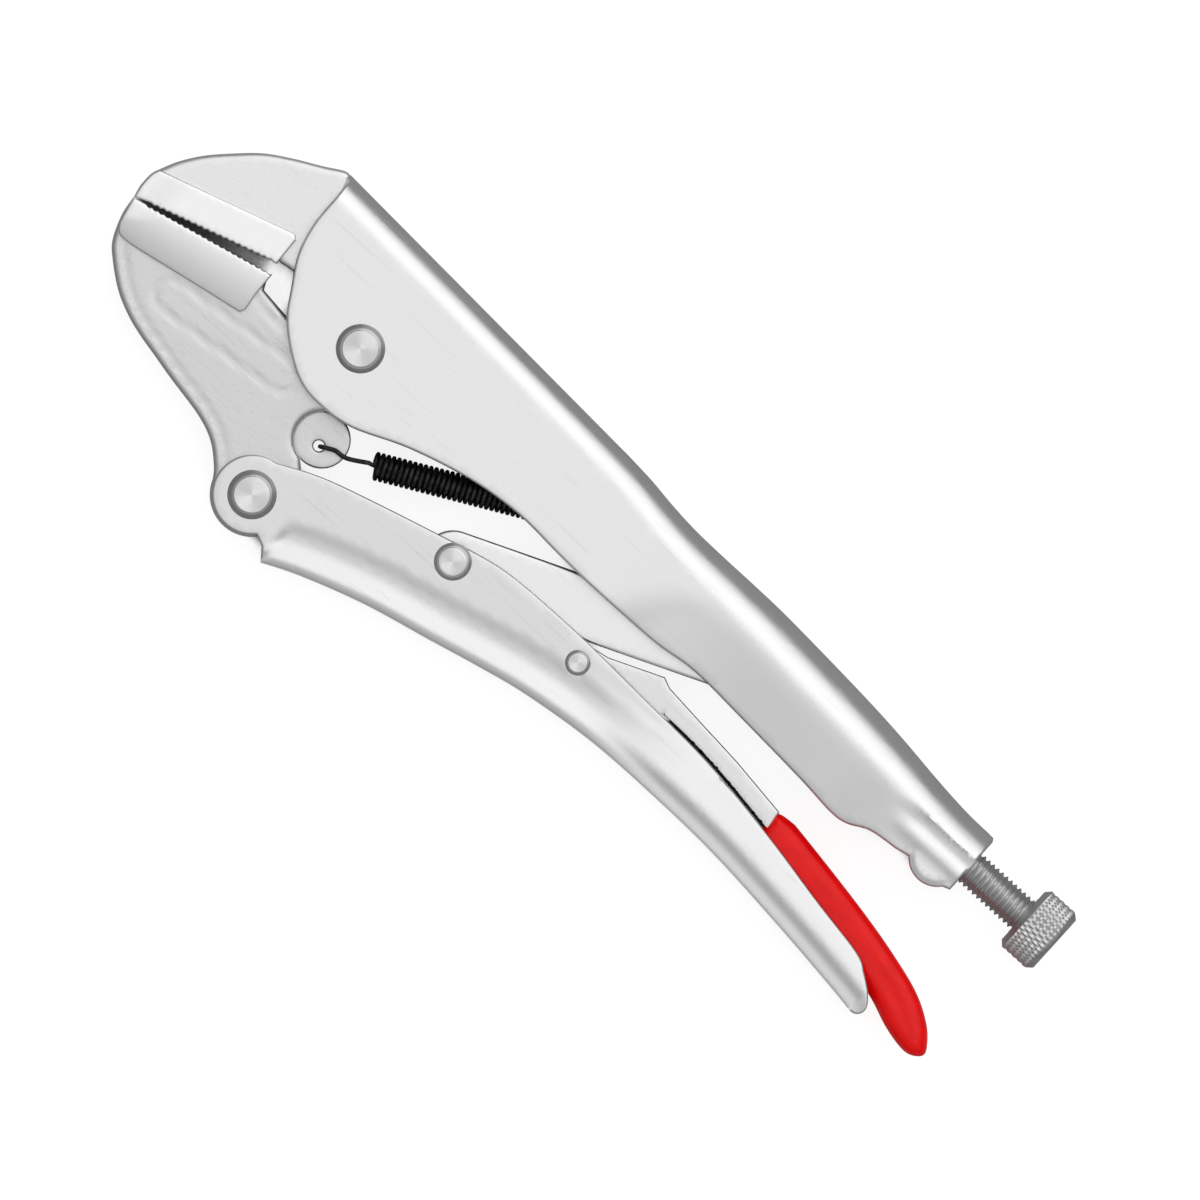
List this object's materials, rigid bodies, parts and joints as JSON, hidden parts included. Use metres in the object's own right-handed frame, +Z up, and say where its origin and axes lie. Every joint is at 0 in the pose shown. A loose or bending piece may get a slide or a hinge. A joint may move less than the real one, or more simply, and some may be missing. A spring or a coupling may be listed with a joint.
{
  "type": "locking pliers",
  "caption": "Locking pliers with universal jaws: folded steel handles, a toggle link, an adjusting screw with a knurled knob, a return spring and a red-dipped release lever.",
  "frame": {"origin": "on the main pivot's axis, at the flat of the main rivet's lower head, which rests on the floor", "axes": "+X along the adjusting screw from the jaws to the knob, +Y to the back of the fixed handle, +Z up, square to the flat of the tool"},
  "size_m": [0.2494, 0.0731, 0.0174],
  "materials": {
    "handle_plating": "satin bright zinc over pressed steel sheet",
    "jaw_plating": "matt plated forging, ground bright on the gripping bars",
    "link_plating": "satin plated steel",
    "rivet_steel": "turned and plated, polished",
    "screw_steel": "plated, thread and knurling",
    "spring_black": "black oiled spring wire",
    "red_dip": "glossy red dipped vinyl"
  },
  "bodies": {
    "fixed": {"fixed_handle": "handle_plating", "upper_jaw": "jaw_plating", "jaw_rivet": "rivet_steel", "tension_spring": "spring_black"},
    "lower_jaw": {"lower_jaw": "jaw_plating"},
    "lever": {"lever_handle": "handle_plating", "lever_rivet": "rivet_steel", "link_rivet": "rivet_steel", "release_pin": "rivet_steel"},
    "link": {"toggle_link": "link_plating"},
    "release": {"release_lever": "link_plating", "release_sleeve": "red_dip"},
    "tip": {"screw_tip": "screw_steel"},
    "screw": {"adjusting_screw": "screw_steel"}
  },
  "joints": [
    {"name": "jaw_pivot", "type": "hinge", "parent": "fixed", "child": "lower_jaw", "pos_m": [0, 0, 0.0087], "axis": [0, 0, 1], "range_deg": [0, 20], "deforming": ["tension_spring"]},
    {"name": "lever_pivot", "type": "hinge", "parent": "lower_jaw", "child": "lever", "pos_m": [0.0037, -0.038, 0.0087], "axis": [0, 0, 1], "range_deg": [-55, 0]},
    {"name": "link_pivot", "type": "hinge", "parent": "lever", "child": "link", "pos_m": [0.0444, -0.0201, 0.0087], "axis": [0, 0, 1], "range_deg": [0, 59]},
    {"name": "release_pivot", "type": "hinge", "parent": "lever", "child": "release", "pos_m": [0.0781, -0.0182, 0.0087], "axis": [0, 0, 1], "range_deg": [0, 4]},
    {"name": "screw_travel", "type": "slide", "parent": "fixed", "child": "tip", "axis": [1, 0, 0], "range_m": [0, 0.025]},
    {"name": "screw_turn", "type": "hinge", "parent": "tip", "child": "screw", "pos_m": [0.15, 0.0053, 0.0087], "axis": [1, 0, 0], "range_deg": [0, 7201]}
  ],
  "couplings": [
    {"joint": "lever_pivot", "follows": "jaw_pivot", "ratio": -2.715},
    {"joint": "link_pivot", "follows": "jaw_pivot", "ratio": 2.93},
    {"joint": "screw_turn", "follows": "screw_travel", "rad_per_m": 5026.5}
  ]
}
